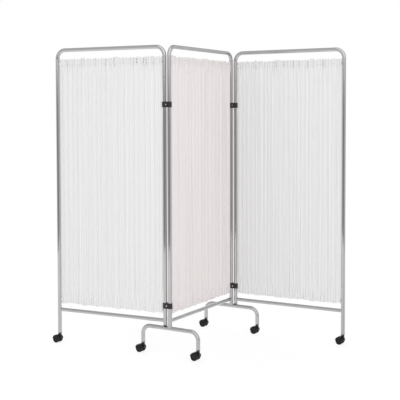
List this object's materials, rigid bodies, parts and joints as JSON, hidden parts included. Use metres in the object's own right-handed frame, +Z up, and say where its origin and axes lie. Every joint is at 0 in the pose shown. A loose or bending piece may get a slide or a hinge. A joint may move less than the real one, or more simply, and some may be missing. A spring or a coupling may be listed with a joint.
{
  "type": "privacy screen",
  "caption": "Folding ward screen: chrome tube leaves with gathered white curtains, hinge clips that let the side leaves fold both ways, and swivelling twin-wheel casters.",
  "frame": {"origin": "on the floor, under the middle of the centre leaf", "axes": "+Z up, +X along the centre leaf towards the right leaf, +Y towards the side where the left leaf stands"},
  "size_m": [0.8043, 1.4406, 1.65],
  "materials": {
    "chrome_tube": "bright chrome plate",
    "chrome_cup": "bright chrome plate",
    "steel_rod": "drawn steel",
    "white_cloth": "matt woven polyester",
    "black_clip": "semi-gloss",
    "zinc_steel": "zinc plate",
    "black_plug": "matt",
    "black_housing": "semi-gloss",
    "black_wheel": "matt nylon"
  },
  "bodies": {
    "centre_leaf": {"centre_frame_tube": "chrome_tube", "centre_crossbar": "chrome_tube", "left_foot": "chrome_tube", "right_foot": "chrome_tube", "centre_curtain_rods": "steel_rod", "centre_rod_cups": "chrome_cup", "centre_curtain": "white_cloth", "centre_caster_sockets": "black_plug"},
    "left_leaf": {"left_frame_tube": "chrome_tube", "left_crossbar": "chrome_tube", "left_curtain_rods": "steel_rod", "left_rod_cups": "chrome_cup", "left_curtain": "white_cloth", "left_end_plug": "black_plug", "left_caster_socket": "black_plug"},
    "left_clips": {"left_clip_fronts": "black_clip", "left_clip_backs": "black_clip", "left_clip_screws": "zinc_steel", "left_clip_nuts": "zinc_steel"},
    "right_leaf": {"right_frame_tube": "chrome_tube", "right_crossbar": "chrome_tube", "right_curtain_rods": "steel_rod", "right_rod_cups": "chrome_cup", "right_curtain": "white_cloth", "right_end_plug": "black_plug", "right_caster_socket": "black_plug"},
    "right_clips": {"right_clip_fronts": "black_clip", "right_clip_backs": "black_clip", "right_clip_screws": "zinc_steel", "right_clip_nuts": "zinc_steel"},
    "caster_1": {"caster_1_housing": "black_housing", "caster_1_stem": "zinc_steel", "caster_1_axle": "zinc_steel"},
    "wheel_1a": {"caster_1_wheel_a": "black_wheel"},
    "wheel_1b": {"caster_1_wheel_b": "black_wheel"},
    "caster_2": {"caster_2_housing": "black_housing", "caster_2_stem": "zinc_steel", "caster_2_axle": "zinc_steel"},
    "wheel_2a": {"caster_2_wheel_a": "black_wheel"},
    "wheel_2b": {"caster_2_wheel_b": "black_wheel"},
    "caster_3": {"caster_3_housing": "black_housing", "caster_3_stem": "zinc_steel", "caster_3_axle": "zinc_steel"},
    "wheel_3a": {"caster_3_wheel_a": "black_wheel"},
    "wheel_3b": {"caster_3_wheel_b": "black_wheel"},
    "caster_4": {"caster_4_housing": "black_housing", "caster_4_stem": "zinc_steel", "caster_4_axle": "zinc_steel"},
    "wheel_4a": {"caster_4_wheel_a": "black_wheel"},
    "wheel_4b": {"caster_4_wheel_b": "black_wheel"},
    "caster_5": {"caster_5_housing": "black_housing", "caster_5_stem": "zinc_steel", "caster_5_axle": "zinc_steel"},
    "wheel_5a": {"caster_5_wheel_a": "black_wheel"},
    "wheel_5b": {"caster_5_wheel_b": "black_wheel"},
    "caster_6": {"caster_6_housing": "black_housing", "caster_6_stem": "zinc_steel", "caster_6_axle": "zinc_steel"},
    "wheel_6a": {"caster_6_wheel_a": "black_wheel"},
    "wheel_6b": {"caster_6_wheel_b": "black_wheel"}
  },
  "joints": [
    {"name": "left_clip_turn", "type": "hinge", "parent": "centre_leaf", "child": "left_clips", "pos_m": [-0.334, 0, 0.802], "axis": [0, 0, -1], "range_deg": [-178, 2]},
    {"name": "left_leaf_turn", "type": "hinge", "parent": "left_clips", "child": "left_leaf", "pos_m": [-0.33501, 0.02898, 0.802], "axis": [0, 0, -1], "range_deg": [-66, 74]},
    {"name": "right_clip_turn", "type": "hinge", "parent": "centre_leaf", "child": "right_clips", "pos_m": [0.334, 0, 0.802], "axis": [0, 0, -1], "range_deg": [-178, 2]},
    {"name": "right_leaf_turn", "type": "hinge", "parent": "right_clips", "child": "right_leaf", "pos_m": [0.33501, -0.02898, 0.802], "axis": [0, 0, -1], "range_deg": [-70, 70]},
    {"name": "caster_1_swivel", "type": "hinge", "parent": "left_leaf", "child": "caster_1", "pos_m": [-0.40484, 0.69332, 0.058], "axis": [0, 0, 1], "continuous": true},
    {"name": "wheel_1a_spin", "type": "hinge", "parent": "caster_1", "child": "wheel_1a", "pos_m": [-0.40484, 0.70932, 0.02], "axis": [1, 0, 0], "continuous": true},
    {"name": "wheel_1b_spin", "type": "hinge", "parent": "caster_1", "child": "wheel_1b", "pos_m": [-0.40484, 0.70932, 0.02], "axis": [1, 0, 0], "continuous": true},
    {"name": "caster_2_swivel", "type": "hinge", "parent": "centre_leaf", "child": "caster_2", "pos_m": [-0.334, 0.1735, 0.058], "axis": [0, 0, 1], "continuous": true},
    {"name": "wheel_2a_spin", "type": "hinge", "parent": "caster_2", "child": "wheel_2a", "pos_m": [-0.334, 0.1895, 0.02], "axis": [1, 0, 0], "continuous": true},
    {"name": "wheel_2b_spin", "type": "hinge", "parent": "caster_2", "child": "wheel_2b", "pos_m": [-0.334, 0.1895, 0.02], "axis": [1, 0, 0], "continuous": true},
    {"name": "caster_3_swivel", "type": "hinge", "parent": "centre_leaf", "child": "caster_3", "pos_m": [-0.334, -0.1735, 0.058], "axis": [0, 0, 1], "continuous": true},
    {"name": "wheel_3a_spin", "type": "hinge", "parent": "caster_3", "child": "wheel_3a", "pos_m": [-0.334, -0.1575, 0.02], "axis": [1, 0, 0], "continuous": true},
    {"name": "wheel_3b_spin", "type": "hinge", "parent": "caster_3", "child": "wheel_3b", "pos_m": [-0.334, -0.1575, 0.02], "axis": [1, 0, 0], "continuous": true},
    {"name": "caster_4_swivel", "type": "hinge", "parent": "centre_leaf", "child": "caster_4", "pos_m": [0.334, 0.1735, 0.058], "axis": [0, 0, 1], "continuous": true},
    {"name": "wheel_4a_spin", "type": "hinge", "parent": "caster_4", "child": "wheel_4a", "pos_m": [0.334, 0.1895, 0.02], "axis": [1, 0, 0], "continuous": true},
    {"name": "wheel_4b_spin", "type": "hinge", "parent": "caster_4", "child": "wheel_4b", "pos_m": [0.334, 0.1895, 0.02], "axis": [1, 0, 0], "continuous": true},
    {"name": "caster_5_swivel", "type": "hinge", "parent": "centre_leaf", "child": "caster_5", "pos_m": [0.334, -0.1735, 0.058], "axis": [0, 0, 1], "continuous": true},
    {"name": "wheel_5a_spin", "type": "hinge", "parent": "caster_5", "child": "wheel_5a", "pos_m": [0.334, -0.1575, 0.02], "axis": [1, 0, 0], "continuous": true},
    {"name": "wheel_5b_spin", "type": "hinge", "parent": "caster_5", "child": "wheel_5b", "pos_m": [0.334, -0.1575, 0.02], "axis": [1, 0, 0], "continuous": true},
    {"name": "caster_6_swivel", "type": "hinge", "parent": "right_leaf", "child": "caster_6", "pos_m": [0.35833, -0.69658, 0.058], "axis": [0, 0, 1], "continuous": true},
    {"name": "wheel_6a_spin", "type": "hinge", "parent": "caster_6", "child": "wheel_6a", "pos_m": [0.35833, -0.68058, 0.02], "axis": [1, 0, 0], "continuous": true},
    {"name": "wheel_6b_spin", "type": "hinge", "parent": "caster_6", "child": "wheel_6b", "pos_m": [0.35833, -0.68058, 0.02], "axis": [1, 0, 0], "continuous": true}
  ]
}
